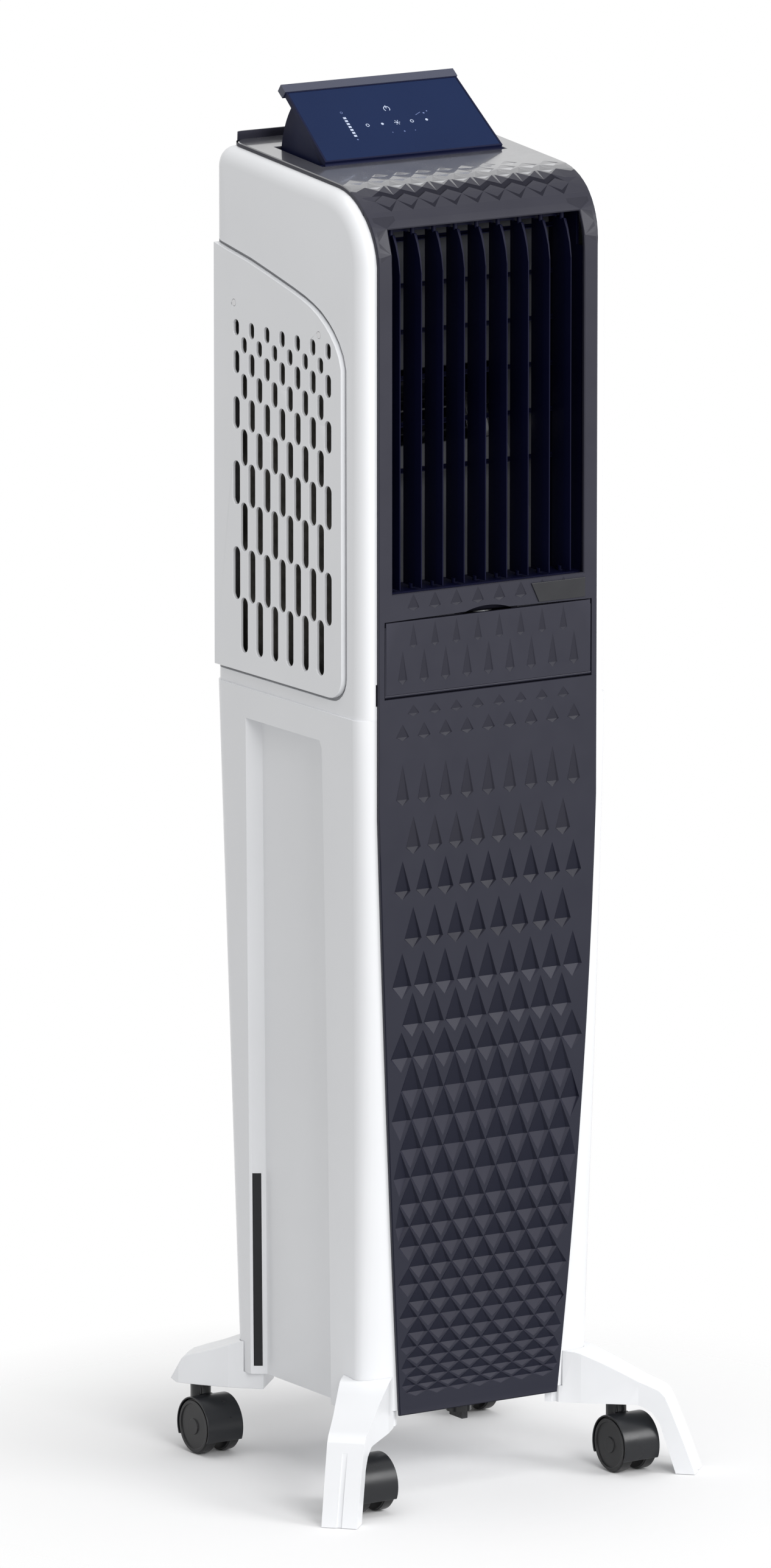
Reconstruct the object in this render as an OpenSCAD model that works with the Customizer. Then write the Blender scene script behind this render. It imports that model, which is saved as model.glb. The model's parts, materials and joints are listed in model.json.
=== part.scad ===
// Free-standing evaporative tower cooler on castors.
// X runs across the width, -Y is the front, Z is up from the floor. Millimetres.
// Every module below is written with y = 0 on the front face of the fascia; place()
// then moves the piece so that the origin is on the floor under the middle of the outline.

/* [Cabinet] */
// Height of the joint line between the water tank and the upper housing
seam_z = 686; // [684:1:688]
// Width of the water tank at the joint line
tank_w = 255; // [253:1:257]
// Width of the upper housing
upper_w = 251; // [250:1:252]
// Corner radius at the back of the tank
tank_corner = 20; // [16:1:24]
// Wall thickness of the moulded shells
wall = 2.5; // [2.2:0.1:2.8]

/* [Fascia] */
// Width of the fascia above the taper
fascia_w = 222; // [221:1:223]
// Thickness of the fascia
fascia_t = 3.2; // [2.8:0.1:3.3]
// How far the foot of the fascia sits behind its upper part
fascia_setback = 13; // [11:1:14]
// Outer radius of the bend between the front and the top
bend_r = 65; // [63:1:66]

/* [Louvres] */
// Swing angle of the upright louvres drawn by the stepper motor, to each side
louvre_swing = 40; // [20:5:40]
// Number of upright louvres
louvre_n = 9; // [9:1:9]
// Spacing of the upright louvres
louvre_pitch = 21.65; // [21.5:0.05:21.7]
// Thickness of an upright louvre at its middle
louvre_t = 2.4; // [2:0.1:2.8]

/* [Side covers] */
// Width of the widest slots in the side covers
slot_w = 11.5; // [10:0.5:12]
// How far the side covers stand out from the upper housing
cover_proud = 3.5; // [3:0.1:4]

/* [Castors and legs] */
// Radius of the castor wheels
wheel_r = 24; // [24:1:24]
// Overall width of a twin-wheel castor
castor_w = 36; // [34:1:37]
// Height of the underside of the legs
leg_under = 60; // [60:1:60]
// Width of a foot
foot_w = 31; // [29:1:31]

/* [Control pod] */
// Width of the control pod along its hinge
pod_w = 180; // [178:1:181]
// Width of the control pod along its top edge
pod_top_w = 173; // [170:1:174]
// Radius of the curved back of the pod about its hinge
pod_r = 70.2; // [69:0.1:70.4]

/* [Hidden] */
$fn = 64;
e = 0.01;
q = sqrt(0.5);

// plan of the legs: start of each centre line, which runs outwards at 45 degrees
leg_f = [100, 33];
leg_r = [100, 217.4];
front_len = 120;
rear_len = 73.7;
rear_tip = 9;
y_front = leg_f[1] - (front_len + foot_w / 2) * q;
y_back = leg_r[1] + (rear_len + rear_tip) * q;
y0 = (y_front + y_back) / 2;

// castors: swivel axis in plan, trail of the wheel axle towards the front
stem_x = 134.6;
stem_yf = 2;
stem_yr = 252;
trail = 15.5;

// outline of the cabinet
function below(z) = max(0, 600 - z);
function fascia_hw(z) = fascia_w / 2 - 0.030 * below(z) - 0.00005 * below(z) * below(z);
function fascia_y(z) = fascia_setback * pow(below(z) / 520, 2);
function tank_hw(z) = tank_w / 2 - 0.016 * (seam_z - z);
function tank_back(z) = 245 - 0.0297 * (seam_z - z);
function tank_side_y(z) = 16 + 0.0235 * (seam_z - z);
slope = 5.114;                     // rise of the top towards the back, degrees
bend_z = 1076.3;
function top_z(y) = bend_z + bend_r / cos(slope) + (y - bend_r) * tan(slope);
fascia_foot = 70.6;
plate_back = 232;
back_y = 242;
back_r = 18;
back_zc = top_z(back_y - back_r) - 3.5 / cos(slope) - back_r / cos(slope);

// control pod hinge and face
pod_p = [121.5, 1144.5];
pod_h = [117.2, 1149.6];
pod_t = [189.5, 1203.6];
pod_a = atan2(pod_t[1] - pod_h[1], pod_t[0] - pod_h[0]);
pod_len = norm(pod_t - pod_h);

// louvres and vanes
louvre_y = 20;
louvre_z0 = 796;
louvre_z1 = 1100;
vane_y = 47;
vane_z0 = 890;
vane_pitch = 40;
crank = 9;

// blower
fan_y = 138;
fan_z = 900;
fan_r = 50;

door_y = 3.5;
door_z = 707.5;

module place() translate([0, -y0, 0]) children();
module mirrored() { children(); mirror([1, 0, 0]) children(); }
module along_x(x0, x1) translate([x0, 0, 0]) rotate([90, 0, 90]) linear_extrude(x1 - x0) children();
module box(a, b) translate(a) cube(b - a);
module rod_x(x0, x1, y, z, r) translate([x0, y, z]) rotate([0, 90, 0]) cylinder(h = x1 - x0, r = r);
module rod_y(y0_, y1_, x, z, r) translate([x, y0_, z]) rotate([-90, 0, 0]) cylinder(h = y1_ - y0_, r = r);
module slot2d(w, l) { union() { translate([-w / 2, -(l - w) / 2]) square([w, l - w]); translate([0, (l - w) / 2]) circle(d = w); translate([0, -(l - w) / 2]) circle(d = w); } }

module loft(rings) {
  n = len(rings[0]);
  m = len(rings);
  polyhedron(
    points = [for (r = rings) for (p = r) p],
    faces = concat(
      [[for (i = [0:n - 1]) i]],
      [[for (i = [n - 1:-1:0]) (m - 1) * n + i]],
      [for (k = [0:m - 2]) for (i = [0:n - 1]) each [
        [k * n + i, (k + 1) * n + i, (k + 1) * n + (i + 1) % n],
        [k * n + i, (k + 1) * n + (i + 1) % n, k * n + (i + 1) % n]]]));
}

// ---------- water tank ----------
function tank_ring(z, t, n = 6) =
  let (cx = fascia_hw(z) - 2, cy = tank_side_y(z), rx = tank_hw(z) - cx - t, ry = cy - fascia_y(z) - 3.5 - t,
       bx = tank_hw(z) - tank_corner, by = tank_back(z) - tank_corner, rb = tank_corner - t)
  concat(
    [for (i = [0:n]) let (a = -90 + 90 * i / n) [cx + rx * cos(a), cy + ry * sin(a), z]],
    [for (i = [0:n]) let (a = 90 * i / n) [bx + rb * cos(a), by + rb * sin(a), z]],
    [for (i = [0:n]) let (a = 90 + 90 * i / n) [-bx + rb * cos(a), by + rb * sin(a), z]],
    [for (i = [0:n]) let (a = 180 + 90 * i / n) [-cx + rx * cos(a), cy + ry * sin(a), z]]);
tank_z = [75, 130, 200, 280, 360, 440, 520, 600];
taper = atan(0.016);
recess_lean = 0.823;

// long shallow recess in each side of the tank, grown by g into the tank
module recess(g) {
  translate([tank_w / 2, 0, seam_z]) rotate([0, taper, 0]) translate([0, 0, -seam_z])
    intersection() {
      rotate([recess_lean, 0, 0]) translate([0, 0, 50]) linear_extrude(640)
        polygon([[20, 30 - g], [20, 210.8 + g], [-12 - g, 189.5 + g / 3], [-12 - g, 30 - g]]);
      translate([-40, 0, 0]) along_x(0, 80)
        polygon([[66.5 - g, 55], [65 - g, 300], [65 - g, 500], [66 - g, 652.5 + g * 0.5], [69.5, 659.5 + g], [225, 659.5 + g], [225, 55]]);
    }
}

module lower_housing() color("whitesmoke") place() difference() {
  loft([for (z = concat(tank_z, [seam_z])) tank_ring(z, 0)]);
  mirrored() recess(0);
  difference() {
    loft([for (z = concat([78], [for (i = [1:7]) tank_z[i]], [seam_z + 4])) tank_ring(z, wall)]);
    mirrored() recess(wall);
    // guide stem of the level float
    translate([-62, 200, 75]) cylinder(h = 255, r = 4);
    translate([-62, 200, 75]) cylinder(h = 5.9, r = 9);
  }
  // slot behind the level window
  window_frame() translate([2.6, -8, -86.5]) cube([7.8, 16, 173]);
  // drain
  translate([0, 46, 65]) cylinder(h = 20, r = 6.1);
}

// middle of the slot in the slanted wall of the left recess
module window_frame() translate([-tank_hw(168.5), 195.1, 168.5]) rotate([0, -taper, 0]) rotate([recess_lean, 0, 0]) rotate([0, 0, -33.7]) children();

module level_window() color([0.10, 0.11, 0.12]) place()
  window_frame() translate([2.8, 0.4, -86.3]) cube([7.4, 1.6, 172.6]);

module drain_plug() color([0.13, 0.13, 0.16]) place() union() {
  translate([0, 46, 59]) cylinder(h = 15.8, r = 11);
  translate([0, 46, 74]) cylinder(h = 6, r = 6);
  translate([-3, 36, 53]) cube([6, 20, 6.5]);
}

// ---------- upper housing ----------
function upper_ring(x, d, zb) =
  concat(
    [[x, 3.5 + d, zb], [x, back_y - d, zb]],
    [for (i = [0:6]) let (a = (90 + slope) * i / 6) [x, back_y - back_r + (back_r - d) * cos(a), back_zc + (back_r - d) * sin(a)]],
    [for (i = [0:9]) let (a = 90 + slope + (90 - slope) * i / 9) [x, bend_r + (bend_r - 3.5 - d) * cos(a), bend_z + (bend_r - 3.5 - d) * sin(a)]]);
function upper_rings(dx, t, zb) =
  concat(
    [for (i = [6:-1:0]) let (a = 15 * i) upper_ring(-(111.5 + (dx - 111.5) * sin(a)), t + (15 - t) * (1 - cos(a)), zb)],
    [for (i = [0:6]) let (a = 15 * i) upper_ring(111.5 + (dx - 111.5) * sin(a), t + (15 - t) * (1 - cos(a)), zb)]);

// outline of a side cover in the side view, grown by g
module cover_outline(g) polygon(concat(
  [for (i = [0:6]) let (a = 180 + 15 * i) [51.5 + (20 + g) * cos(a), 720 + (20 + g) * sin(a)]],
  [[235 + g, 700 - g]],
  [[235 + g, 1068.5 + g], [218, 1065.2 + g], [181, 1058.8 + g], [150, 1051.8 + g], [132, 1047.5 + g], [112, 1042.8 + g], [94, 1038 + g], [80, 1033.2 + g], [69 - g * 0.3, 1028 + g], [58 - g * 0.5, 1021 + g * 0.9], [50 - g * 0.6, 1014.5 + g * 0.8], [42 - g * 0.8, 1006 + g * 0.6], [35.5 - g * 0.9, 996 + g * 0.4], [32 - g, 986]]));

module side_window() polygon([[44, 712], [213, 712], [213, 1004], [52, 1004], [44, 994]]);

module upper_solid() difference() {
  loft(upper_rings(upper_w / 2, 0, seam_z));
  loft(upper_rings(upper_w / 2 - 4, wall, seam_z - 5));
  box([-105.05, -1, 670], [105.05, 41, 1127]);
  mirrored() box([103, -1, 698], [112, 12, 717]);
  box([-97.5, 113, 1078], [97.5, 199, 1170]);
  mirrored() along_x(100, 140) side_window();
  mirrored() along_x(upper_w / 2 - 2, 140) cover_outline(3);
  box([-86.05, 228, 735], [86.05, 250, 1004]);
  rod_y(230, 250, 70, 712, 7.1);
  mirrored() for (p = screw_side) rod_x(112, 130, p[0], p[1], 1.6);
  for (p = screw_rear) rod_y(230, 250, p[0], p[1], 1.6);
}
// one moulding for each side with its rounded front and top edge; the back is two posts and two rails round the pad's window
module upper_housing() color("whitesmoke") place() intersection() {
  upper_solid();
  union() {
    box([-86, 215, 600], [86, 300, 1300]);
    mirrored() box([86.1, 215, 600], [105, 300, 1300]);
  }
}
module side_shell() intersection() { upper_solid(); box([105.1, 0, 600], [140, 300, 1300]); }
module side_shell_right() color("whitesmoke") place() side_shell();
module side_shell_left() color("whitesmoke") place() mirror([1, 0, 0]) side_shell();
// floor of the upper housing, which lids the tank and carries the filling tray
module basin() color([0.78, 0.79, 0.81]) place() difference() {
  union() {
    translate([0, 0, 686.1]) linear_extrude(3.9) polygon([[-120.8, 21], [120.8, 21], [120.8, 229.4], [119.4, 232.6], [115.8, 236.8], [110.8, 239.1], [-110.8, 239.1], [-115.8, 236.8], [-119.4, 232.6], [-120.8, 229.4]]);
    box([-104.9, 3.6, 686.1], [104.9, 40, 690]);
    box([-104.9, 3.6, 688], [104.9, 7, 694]);
    difference() { box([-101.5, 9.8, 687], [101.5, 62, 766]); box([-99.3, 9, 690], [99.3, 60, 780]); }
  }
  box([-62, 70, 680], [62, 190, 695]);
  box([-36, 18, 680], [36, 48, 700]);
  translate([88, 200, 680]) cylinder(h = 20, r = 6.5);
}
screw_side = [[203, 1020], [67.5, 1011]];
screw_rear = [[-90, 745], [90, 745], [-90, 1018], [90, 1018]];

// ---------- fascia: front and top in one moulding ----------
module fascia_strip() {
  zs = [fascia_foot, 110, 150, 200, 250, 300, 350, 400, 450, 500, 550];
  t = fascia_t;
  polygon(concat(
    [for (z = zs) [fascia_y(z), z]],
    [[0, 600], [0, bend_z]],
    [for (i = [1:14]) let (a = 180 - (90 - slope) * i / 14) [bend_r + bend_r * cos(a), bend_z + bend_r * sin(a)]],
    [[plate_back - 3, top_z(plate_back - 3)], [plate_back - 2.6, top_z(plate_back) + 6.4], [plate_back, top_z(plate_back) + 6.4], [plate_back, top_z(plate_back) - t]],
    [for (i = [14:-1:1]) let (a = 180 - (90 - slope) * i / 14) [bend_r + (bend_r - t) * cos(a), bend_z + (bend_r - t) * sin(a)]],
    [[t, bend_z], [t, 600]],
    [for (i = [len(zs) - 1:-1:0]) [fascia_y(zs[i]) + t, zs[i]]]));
}
module fascia_front_outline() {
  zs = [fascia_foot, 110, 150, 200, 250, 300, 350, 400, 450, 500, 550, 600, bend_z];
  polygon(concat(
    [for (z = zs) [fascia_hw(z), z]], [[114, 1125], [114, 1170], [-114, 1170], [-114, 1125]],
    [for (i = [len(zs) - 1:-1:0]) [-fascia_hw(zs[i]), zs[i]]]));
}
module fascia_top_outline() union() {
  translate([-114, 20]) square([228, plate_back - 20 - 14]);
  translate([-100, 100]) square([200, plate_back - 100]);
  translate([-100, plate_back - 14]) circle(r = 14);
  translate([100, plate_back - 14]) circle(r = 14);
}

module front_panel() color([0.25, 0.25, 0.30]) place() difference() {
  union() {
    intersection() {
      along_x(-114, 114) fascia_strip();
      union() {
        translate([0, 66, 0]) rotate([90, 0, 0]) linear_extrude(76) fascia_front_outline();
        translate([0, 0, bend_z]) linear_extrude(100) fascia_top_outline();
      }
    }
    // well that takes the control pod
    along_x(-95.5, 95.5) polygon([[114.3, 1085], [195.4, 1085], [195.4, top_z(195.4) - 1], [114.3, top_z(114.3) - 1]]);
    // shallow pocket behind the finger notch
    box([-33, 3, 770.6], [31, 6, 780]);
    // ears for the filling door
    mirrored() box([105.3, 1.5, 702.5], [109.8, 9.5, 713]);
  }
  along_x(-93.2, 93.2) polygon([[116.4, 1087], [193.2, 1087], [193.2, 1190], [116.4, 1190]]);
  box([-97.3, -10, 794], [97.3, 45, 1107]);
  box([-105.3, -10, 703.6], [105.3, 8, 770.5]);
  intersection() { rod_y(-10, 4.6, -1, 705.5, 70); box([-60, -10, 768], [60, 8, 790]); }
  mirrored() rod_x(104, 108.6, door_y, door_z, 1.81);
  mirrored() rod_x(92, 97, pod_p[0], pod_p[1], 2.06);
}

module badge_plate() color([0.10, 0.10, 0.12]) place()
  translate([0, 0, 0]) rotate([90, 0, 0]) linear_extrude(1.2) polygon([[51, 773], [98, 773], [98, 790], [43, 790]]);

// ---------- side covers ----------
hole_y_odd = [for (i = [0:6]) 52.8 + 24.4 * i];
hole_y_even = [for (i = [0:5]) 65 + 24.4 * i];
// centre height and length of each row of slots, from the top
rows = [[999, 14], [985, 14], [969, 20], [949, 22], [925, 28], [896, 32], [864, 38], [827, 42], [785, 46], [741, 48]];
function row_w(i) = min(slot_w, 9 + 0.45 * i);

module side_cover() color("whitesmoke") difference() {
  union() {
    along_x(upper_w / 2 + cover_proud - 3, upper_w / 2 + cover_proud) cover_outline(0);
    difference() {
      along_x(upper_w / 2 - 1.9, upper_w / 2 + cover_proud - 2) cover_outline(0);
      along_x(upper_w / 2 - 5, upper_w / 2 + cover_proud - 3) cover_outline(-2.5);
    }
    for (p = screw_side) rod_x(upper_w / 2 - 1.9, upper_w / 2 + cover_proud - 2, p[0], p[1], 4.5);
  }
  for (i = [0:9]) for (y = i % 2 == 0 ? hole_y_odd : hole_y_even)
    along_x(upper_w / 2 - 5, upper_w / 2 + 10) translate([y, rows[i][0]]) slot2d(row_w(i), rows[i][1]);
  for (p = screw_side) { rod_x(100, 140, p[0], p[1], 1.6); rod_x(upper_w / 2 + cover_proud - 1.4, 140, p[0], p[1], 3.2); }
}
module side_cover_right() place() side_cover();
module side_cover_left() place() mirror([1, 0, 0]) side_cover();

module rounded2d(x0, y0_, x1, y1_, r) union() {
  translate([x0 + r, y0_]) square([x1 - x0 - 2 * r, y1_ - y0_]);
  translate([x0, y0_ + r]) square([x1 - x0, y1_ - y0_ - 2 * r]);
  for (x = [x0 + r, x1 - r]) for (y = [y0_ + r, y1_ - r]) translate([x, y]) circle(r = r);
}
module rear_cover() color("whitesmoke") place() difference() {
  union() {
    translate([0, back_y + 4.5, 0]) rotate([90, 0, 0]) linear_extrude(3) rounded2d(-98, 726, 98, 1034, 14);
    difference() {
      translate([0, back_y + 2.5, 0]) rotate([90, 0, 0]) linear_extrude(2.4) rounded2d(-98, 726, 98, 1034, 14);
      translate([0, back_y + 5, 0]) rotate([90, 0, 0]) linear_extrude(8) rounded2d(-95.5, 728.5, 95.5, 1031.5, 11.5);
    }
    for (p = screw_rear) rod_y(back_y + 0.1, back_y + 3, p[0], p[1], 4.5);
  }
  for (i = [0:9]) for (k = i % 2 == 0 ? [-3, -2, -1, 0, 1, 2, 3] : [-2.5, -1.5, -0.5, 0.5, 1.5, 2.5])
    translate([k * 24.4, back_y + 10, 8 + rows[i][0] * 0.985]) rotate([90, 0, 0]) linear_extrude(20) slot2d(row_w(i), rows[i][1]);
  for (p = screw_rear) { rod_y(230, 260, p[0], p[1], 1.6); rod_y(back_y + 3.1, 260, p[0], p[1], 3.2); }
}

module screw_x(x, y, z) { rod_x(x - 7, x - 1, y, z, 1.5); rod_x(x - 1.3, x, y, z, 3); }
module cover_screws() color("silver") place() {
  for (p = screw_side) { screw_x(upper_w / 2 + cover_proud - 0.1, p[0], p[1]); mirror([1, 0, 0]) screw_x(upper_w / 2 + cover_proud - 0.1, p[0], p[1]); }
  for (p = screw_rear) { rod_y(back_y - 6, back_y + 4, p[0], p[1], 1.5); rod_y(back_y + 3.1, back_y + 4.4, p[0], p[1], 3); }
}

// ---------- cooling pads and water feed ----------
module pad_side() color([0.62, 0.50, 0.34]) box([103, 40, 704], [121, 207, 1012]);
module pad_right() place() pad_side();
module pad_left() place() mirror([1, 0, 0]) pad_side();
module pad_rear() color([0.62, 0.50, 0.34]) place() box([-97, 213, 704], [97, 234, 1012]);

module trough_plan(g) polygon([
  [-121 + g, 40 + g], [-121 + g, 214], [-109 + g * 0.6, 227 - g], [109 - g * 0.6, 227 - g], [121 - g, 214], [121 - g, 40 + g],
  [103 + g, 40 + g], [103 + g, 206], [96, 213 + g], [-96, 213 + g], [-103 - g, 206], [-103 - g, 40 + g]]);
module water_distributor() color([0.80, 0.81, 0.83]) place() difference() {
  translate([0, 0, 1014]) linear_extrude(16) trough_plan(0);
  translate([0, 0, 1016]) linear_extrude(20) trough_plan(2);
  for (y = [55:15:190]) mirrored() translate([112, y, 1010]) cylinder(h = 10, r = 1.5, $fn = 24);
  for (x = [-90:15:90]) translate([x, 220, 1010]) cylinder(h = 10, r = 1.5, $fn = 24);
  rod_y(205, 216, 88, 1024, 4.1);
}
module water_hose() color([0.85, 0.87, 0.88]) place() difference() {
  union() {
    translate([88, 200, 126]) cylinder(h = 898, r = 4.5);
    translate([88, 200, 1024]) sphere(r = 4.5);
    rod_y(200, 212.9, 88, 1024, 4.5);
    rod_y(212, 215.9, 88, 1024, 4);
  }
  translate([88, 200, 115]) cylinder(h = 909, r = 3);
  rod_y(200, 220, 88, 1024, 3);
}

module pump_body() color([0.12, 0.12, 0.13]) place() difference() {
  union() {
    box([62, 176, 78.2], [102, 216, 117]);
    translate([88, 200, 115]) cylinder(h = 10.9, r = 4.5);
  }
  translate([80, 194, 83]) cylinder(h = 16, r = 14);
  translate([88, 200, 95]) cylinder(h = 40, r = 2.5);
  for (x = [66:6:98]) box([x, 170, 85], [x + 3, 179, 99]);
}
module pump_rotor() color([0.75, 0.75, 0.78]) place() union() {
  translate([80, 194, 85]) cylinder(h = 3, r = 12);
  translate([80, 194, 84]) cylinder(h = 13, r = 4);
  for (a = [0:60:300]) translate([80, 194, 87]) rotate([0, 0, a]) translate([3, -0.8, 0]) cube([8.8, 1.6, 8]);
}
module level_float() color([0.85, 0.25, 0.15]) place() difference() {
  translate([-62, 200, 81]) cylinder(h = 22, r = 14);
  translate([-62, 200, 75]) cylinder(h = 40, r = 4.3);
}

// ---------- air path ----------
module louvre_frame() color([0.07, 0.07, 0.12]) place() difference() {
  union() {
    box([-102, 9, 788], [102, 34, 794]);
    box([-102, 16.8, 1105], [102, 34, 1112]);
    mirrored() box([99.4, 9, 788], [102, 34, 1076]);
    mirrored() box([99.4, 16.8, 1070], [102, 34, 1112]);
    mirrored() box([99.4, 33, 788], [102, 59.5, 1112]);
    box([-102, 33, 788], [102, 59.5, 791]);
    box([-102, 33, 1109], [102, 59.5, 1112]);
  }
  for (i = [0:louvre_n - 1]) translate([(i - (louvre_n - 1) / 2) * louvre_pitch, louvre_y, 780]) cylinder(h = 340, r = 2.06);
  for (i = [0:5]) mirrored() rod_x(98, 104, vane_y, vane_z0 + i * vane_pitch, 2.06);
}

module louvre(i) color([0.05, 0.05, 0.14]) place() {
  x = (i - (louvre_n + 1) / 2) * louvre_pitch;
  union() {
    intersection() {
      translate([x, 0, louvre_z0]) linear_extrude(louvre_z1 - louvre_z0)
        polygon([[-0.5, 5], [0.5, 5], [louvre_t / 2, 14], [louvre_t / 2, 26], [0.5, 33], [-0.5, 33], [-louvre_t / 2, 26], [-louvre_t / 2, 14]]);
      along_x(x - 5, x + 5) polygon([[5, 780], [33, 780], [33, 1104], [17, 1104], [11, 1092], [7, 1080], [5, 1068]]);
    }
    // pivots top and bottom, and the crank pin that the link bar holds
    translate([x, louvre_y, 788.5 - (i == 5 ? 8 : 0)]) cylinder(h = 8 + (i == 5 ? 8 : 0), r = 2);
    translate([x, louvre_y, 794.2]) cylinder(h = 4, r = 3);
    translate([x, louvre_y, 1099]) cylinder(h = 10, r = 2);
    translate([x, louvre_y + crank, 1099]) cylinder(h = 4.6, r = 1.5);
  }
}
module louvre_1() louvre(1);
module louvre_2() louvre(2);
module louvre_3() louvre(3);
module louvre_4() louvre(4);
module louvre_5() louvre(5);
module louvre_6() louvre(6);
module louvre_7() louvre(7);
module louvre_8() louvre(8);
module louvre_9() louvre(9);

module louvre_link() color([0.10, 0.10, 0.18]) place() difference() {
  box([-90.5, louvre_y + crank - 3.2, 1101], [90.5, louvre_y + crank + 3.2, 1103]);
  for (i = [1:louvre_n]) translate([(i - (louvre_n + 1) / 2) * louvre_pitch, louvre_y + crank, 1095]) cylinder(h = 15, r = 1.6);
}

module swing_motor() color([0.80, 0.80, 0.82]) place() difference() {
  union() {
    translate([0, louvre_y, 769]) cylinder(h = 18.8, r = 13.8);
    box([-21, louvre_y - 3.5, 786.6], [21, louvre_y + 3.5, 787.8]);
  }
  translate([0, louvre_y, 778]) cylinder(h = 20, r = 2.06);
}

module vane(i) color([0.06, 0.06, 0.10]) place() {
  z = vane_z0 + (i - 1) * vane_pitch;
  union() {
    along_x(-98.6, 98.6) translate([vane_y, z]) polygon([[-9, -0.4], [-3, -1], [3, -1], [9, -0.4], [9, 0.4], [3, 1], [-3, 1], [-9, 0.4]]);
    rod_x(-98.6, 98.6, vane_y, z, 1.7);
    rod_x(-101.6, 101.6, vane_y, z, 2 - 0.0);
  }
}
module vane_1() vane(1);
module vane_2() vane(2);
module vane_3() vane(3);
module vane_4() vane(4);
module vane_5() vane(5);
module vane_6() vane(6);

// four-sided funnel between the blower outlet and the louvre frame
module funnel(x0, za0, zb0, x1, za1, zb1, ya, yb) loft([
  [[-x0, ya, zb0], [x0, ya, zb0], [x0, ya, za0], [-x0, ya, za0]],
  [[-x1, yb, zb1], [x1, yb, zb1], [x1, yb, za1], [-x1, yb, za1]]]);
duct_y0 = 59.7;
duct_y1 = 80.8;
module air_duct() color([0.72, 0.73, 0.75]) place() difference() {
  funnel(101, 790, 1110, 71.3, 902, 973, duct_y0, duct_y1);
  funnel(99, 795, 1105, 68.5, 905, 970, duct_y0 - 0.1, duct_y1 + 0.1);
}

function scroll_r(t) = fan_r + 4 + 16 * t;
module scroll(g) {
  n = 28;
  // grows from the tongue at the front round the bottom and the back to the top
  polygon(concat(
    [for (i = [0:n]) let (a = 175 + (450 - 175) * i / n) [fan_y + (scroll_r(i / n) + g) * cos(a), fan_z + (scroll_r(i / n) + g) * sin(a)]],
    [[81, fan_z + scroll_r(1) + g], [81, fan_z + 5 - g]]));
}
module blower_housing() color([0.15, 0.15, 0.17]) place() difference() {
  union() {
    along_x(-71, 71) scroll(2.5);
    // socket of the motor on the right cheek
    rod_x(70, 80, fan_y, fan_z, 36.5);
    rod_x(70, 74.2, fan_y, fan_z, 50);
  }
  rod_x(66, 82, fan_y, fan_z, 33.1);
  for (a = [0:60:300]) translate([66, fan_y, fan_z]) rotate([a, 0, 0]) translate([0, -9, 37.5]) cube([14, 18, 6]);
  along_x(-68.5, 68.5) union() { scroll(0); polygon([[70, 905], [95, 905], [95, 970], [70, 970]]); }
  rod_x(-80, 0, fan_y, fan_z, 44);
}
module fan_motor() color([0.55, 0.56, 0.58]) place() difference() {
  union() {
    rod_x(46, 98, fan_y, fan_z, 33);
    rod_x(42, 47, fan_y, fan_z, 14);
  }
  rod_x(40, 66, fan_y, fan_z, 4.05);
}
module fan_impeller() color([0.20, 0.20, 0.22]) place() union() {
  rod_x(36, 39, fan_y, fan_z, fan_r);
  rod_x(10, 39, fan_y, fan_z, 12);
  rod_x(10, 64, fan_y, fan_z, 4);
  difference() { rod_x(-64, -61, fan_y, fan_z, fan_r); rod_x(-65, -60, fan_y, fan_z, fan_r - 9); }
  for (a = [0:12:348]) translate([-62, fan_y, fan_z]) rotate([a, 0, 0]) translate([0, -0.7, fan_r - 8.5]) rotate([22, 0, 0]) cube([100, 1.4, 8]);
}

// ---------- filling door ----------
module fill_door() color([0.25, 0.25, 0.30]) place() union() {
  difference() {
    box([-104.8, 0, 707], [104.8, 3.2, 770]);
    mirrored() box([104, -1, 766], [106, 5, 772]);
  }
  rod_x(-104.8, 104.8, door_y, door_z, 3.5);
  rod_x(-108.2, 108.2, door_y, door_z, 1.75);
  mirrored() along_x(92, 94) polygon(concat(
    [[door_y - 1, door_z]], [[1, door_z + 56]],
    [for (i = [0:8]) let (a = 90 - 50 * i / 8) [door_y + 56 * cos(a), door_z + 56 * sin(a)]]));
}

module cable_gland() color([0.10, 0.10, 0.11]) place() difference() {
  union() {
    rod_y(234.6, 246, 70, 712, 7);
    rod_y(242.1, 245, 70, 712, 10);
    rod_y(246, 254, 70, 712, 5.5);
    rod_y(234.5, 239.2, 70, 712, 9.5);
  }
  rod_y(230, 256, 70, 712, 3.6);
}

// ---------- legs ----------
// a leg stands in the (s, z) plane: s runs outwards along its centre line
module leg_blank(side, plan) intersection() {
  translate([0, 60, 0]) rotate([90, 0, 0]) linear_extrude(120) side_shape(side);
  translate([0, 0, -5]) linear_extrude(140) plan_shape(plan);
}
module side_shape(k) {
  if (k == 0) polygon([[-12, 79.9], [-12, leg_under], [70, leg_under], [82, 54], [89, 44], [94, 28], [103, 0], [front_len, 0], [108.5, 31], [97.5, 58], [93, 68], [88, 73], [80, 76.5], [70, 80.5], [54, 88.5], [37, 96.5], [20, 103.5], [14, 105], [4, 106], [-12, 106]]);
  else polygon([[-12, 79.9], [-12, leg_under], [68, leg_under], [rear_len, 63], [63, 82], [58, 85.5], [50, 88], [30, 94], [12, 101], [2, 103], [-12, 103]]);
}
module plan_shape(k) {
  if (k == 0) polygon([[-12, -21.5], [20, -21.5], [60, -18], [88, -16.5], [front_len, -foot_w / 2], [front_len, foot_w / 2], [88, 16.5], [60, 18], [20, 21.5], [-12, 21.5]]);
  else polygon([[-12, -21], [20, -20.5], [45, -17.5], [66, -13], [rear_len, -rear_tip], [rear_len, rear_tip], [66, 13], [45, 17.5], [20, 20.5], [-12, 21]]);
}
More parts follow.
